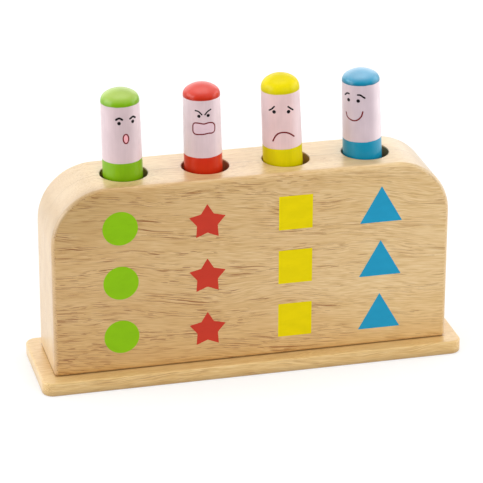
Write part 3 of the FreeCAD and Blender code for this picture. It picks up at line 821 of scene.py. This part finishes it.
line_paint = ink("line_paint", LINE_PAINT, LINE_GLOSS)
mouth_paint = ink("mouth_paint", MOUTH_PAINT, LINE_GLOSS)
mouth_paths = {
    "green": oval_path(GREEN_MOUTH_CENTRE, GREEN_MOUTH_HALF),
    "red": smooth_path(RED_MOUTH, closed=True),
    "yellow": smooth_path(YELLOW_MOUTH),
    "blue": smooth_path(BLUE_MOUTH),
}
for colour in COLOURS:
    peg = Peg(colour)
    body = f"peg_{colour}"
    nodes[body].data.materials[0] = peg_paint(f"peg_{colour}_looks", peg)
    face = FACES[colour]
    brow_width, mouth_width = face["lines"]
    brows = bmesh.new()
    for points in face["brows"]:
        add_stroke(brows, peg, smooth_path(points), brow_width)
    piece(f"{colour}_brows", brows, line_paint, body)
    eyes = bmesh.new()
    for centre in face["eyes"]:
        add_patch(eyes, peg, oval_path(centre, (face["eye"], face["eye"])))
    piece(f"{colour}_eyes", eyes, line_paint, body)
    if colour in MOUTH_PINK:
        fill = bmesh.new()
        add_patch(fill, peg, mouth_paths[colour], lift=PAINT_PROUD / 2)
        pink = ink(f"{colour}_mouth_pink", MOUTH_PINK[colour], MOUTH_PINK_GLOSS)
        piece(f"{colour}_mouth_fill", fill, pink, body)
    mouth = bmesh.new()
    add_stroke(mouth, peg, mouth_paths[colour], mouth_width, closed=colour in MOUTH_PINK)
    piece(f"{colour}_mouth", mouth, mouth_paint, body)

for number, colour in enumerate(COLOURS):
    low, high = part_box(f"spring_{colour}")
    x = BORE_FIRST + BORE_PITCH * number
    shape = coil_mesh(x, low.z / MM, high.z / MM)
    coil = piece(f"coil_{colour}", shape, wire_metal, "block")
    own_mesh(coil)
    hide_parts(f"spring_{colour}")

# ---------------------------------------------------------------- floor, light and camera

FLOOR_SPAN = 2800.0
FLOOR_FRONT = -250.0  # where the white table ends, in front of the toy
FLOOR_DIFFUSE = 0.55
FLOOR_GLOW = 0.5
WORLD_FILL = 0.42
ROOM_GLOSS = 0.1  # the dark of the room in front of the toy, as gloss shows it
ROOM_EDGE = (-0.5, 0.3)  # of how far a gleam points to the back, where that dark ends
MIX_SHARE, MIX_FIRST, MIX_SECOND = 0, 2, 3  # where a Mix node has its sockets for numbers

LAMPS_AIM = (0.0, 0.0, 80.0)

# Place, width and height, watts, and whether gloss mirrors it.
LAMPS = {
    "top_box": ((0.0, 100.0, 1500.0), (1200.0, 900.0), 4.8, True),
    "back_box": ((0.0, 1500.0, 700.0), (2600.0, 1200.0), 9.5, True),
    "left_box": ((-1450.0, 0.0, 450.0), (1500.0, 1200.0), 18.5, True),
    "right_box": ((1450.0, -50.0, 400.0), (1500.0, 1200.0), 11.8, True),
    "front_box": ((500.0, -1200.0, 600.0), (800.0, 700.0), 7.6, False),
}

CAMERA_PLACE = (-378.7, -1504.4, 741.4)
CAMERA_TURN = 14.08  # from +Y towards +X
CAMERA_DOWN = 23.22
CAMERA_ROLL = 0.13
CAMERA_LENS = 202.86
CAMERA_REACH = 20.0  # in metres
SENSOR_WIDTH = 36.0


def make_floor():
    """A pale floor that shows white, and keeps the shadow of what stands on it."""
    shape = bmesh.new()
    half = FLOOR_SPAN / 2
    corners = ((-half, FLOOR_FRONT), (half, FLOOR_FRONT), (half, half), (-half, half))
    shape.faces.new([shape.verts.new((x, y, 0)) for x, y in corners])
    bmesh.ops.scale(shape, vec=(MM, MM, MM), verts=shape.verts)
    mesh = bpy.data.meshes.new("floor")
    shape.to_mesh(mesh)
    shape.free()
    floor = bpy.data.objects.new("floor", mesh)
    bpy.context.scene.collection.objects.link(floor)
    material = bpy.data.materials.new("floor_looks")
    material.use_nodes = True
    tree = material.node_tree
    tree.nodes.clear()
    out = tree.nodes.new("ShaderNodeOutputMaterial")
    matt = tree.nodes.new("ShaderNodeBsdfDiffuse")
    matt.inputs["Color"].default_value = (FLOOR_DIFFUSE, FLOOR_DIFFUSE, FLOOR_DIFFUSE, 1)
    glow = tree.nodes.new("ShaderNodeEmission")
    both = tree.nodes.new("ShaderNodeAddShader")
    tree.links.new(seen_directly(tree, FLOOR_GLOW, 0.0), glow.inputs["Strength"])
    tree.links.new(matt.outputs[0], both.inputs[0])
    tree.links.new(glow.outputs[0], both.inputs[1])
    tree.links.new(both.outputs[0], out.inputs["Surface"])
    mesh.materials.append(material)


def seen_directly(tree, seen, unseen):
    """A strength that is seen for camera, glossy and transmission rays.

    It is unseen for the light that falls on things.
    """
    path = tree.nodes.new("ShaderNodeLightPath").outputs
    either = tree.nodes.new("ShaderNodeMath")
    either.operation = "MAXIMUM"
    tree.links.new(path["Is Camera Ray"], either.inputs[0])
    tree.links.new(path["Is Glossy Ray"], either.inputs[1])
    any_of = tree.nodes.new("ShaderNodeMath")
    any_of.operation = "MAXIMUM"
    tree.links.new(either.outputs[0], any_of.inputs[0])
    tree.links.new(path["Is Transmission Ray"], any_of.inputs[1])
    strength = tree.nodes.new("ShaderNodeMapRange")
    tree.links.new(any_of.outputs[0], strength.inputs["Value"])
    strength.inputs["To Min"].default_value = unseen
    strength.inputs["To Max"].default_value = seen
    return strength.outputs[0]


def make_world():
    """White all round, with a dark room in front of the toy that only gloss shows."""
    world = bpy.data.worlds.new("studio")
    world.use_nodes = True
    tree = world.node_tree
    background = tree.nodes["Background"]
    background.inputs["Color"].default_value = (1, 1, 1, 1)
    direction = tree.nodes.new("ShaderNodeTexCoord").outputs["Generated"]
    parts = tree.nodes.new("ShaderNodeSeparateXYZ")
    tree.links.new(direction, parts.inputs[0])
    behind = tree.nodes.new("ShaderNodeMapRange")
    tree.links.new(parts.outputs["Y"], behind.inputs["Value"])
    behind.inputs["From Min"].default_value = ROOM_EDGE[0]
    behind.inputs["From Max"].default_value = ROOM_EDGE[1]
    behind.inputs["To Min"].default_value = ROOM_GLOSS
    behind.inputs["To Max"].default_value = 1.0
    path = tree.nodes.new("ShaderNodeLightPath").outputs
    glossy = tree.nodes.new("ShaderNodeMix")
    tree.links.new(path["Is Glossy Ray"], glossy.inputs[MIX_SHARE])
    glossy.inputs[MIX_FIRST].default_value = 1.0
    tree.links.new(behind.outputs[0], glossy.inputs[MIX_SECOND])
    strength = tree.nodes.new("ShaderNodeMath")
    strength.operation = "MULTIPLY"
    tree.links.new(seen_directly(tree, 1.0, WORLD_FILL), strength.inputs[0])
    tree.links.new(glossy.outputs[0], strength.inputs[1])
    tree.links.new(strength.outputs[0], background.inputs["Strength"])
    bpy.context.scene.world = world


def soft_box(name, place, size, watts, gleams):
    """A large soft lamp at place, turned to the toy. Gloss mirrors it if it gleams."""
    data = bpy.data.lights.new(name, "AREA")
    data.shape = "RECTANGLE"
    data.size = size[0] * MM
    data.size_y = size[1] * MM
    data.energy = watts
    lamp = bpy.data.objects.new(name, data)
    lamp.location = Vector(place) * MM
    lamp.rotation_euler = (Vector(LAMPS_AIM) - Vector(place)).to_track_quat("-Z", "Y").to_euler()
    lamp.visible_camera = False
    lamp.visible_glossy = gleams
    bpy.context.scene.collection.objects.link(lamp)


def make_camera():
    data = bpy.data.cameras.new("camera")
    data.lens = CAMERA_LENS
    data.sensor_width = SENSOR_WIDTH
    data.clip_end = CAMERA_REACH
    camera = bpy.data.objects.new("camera", data)
    look = Matrix.Rotation(math.radians(-CAMERA_TURN), 4, "Z")
    look @= Matrix.Rotation(math.radians(90 - CAMERA_DOWN), 4, "X")
    look @= Matrix.Rotation(math.radians(CAMERA_ROLL), 4, "Z")
    camera.matrix_world = Matrix.Translation(Vector(CAMERA_PLACE) * MM) @ look
    bpy.context.scene.collection.objects.link(camera)
    bpy.context.scene.camera = camera


make_floor()
make_world()
for name, (place, size, watts, gleams) in LAMPS.items():
    soft_box(name, place, size, watts, gleams)
make_camera()

view = bpy.context.scene.view_settings
view.view_transform = "Standard"
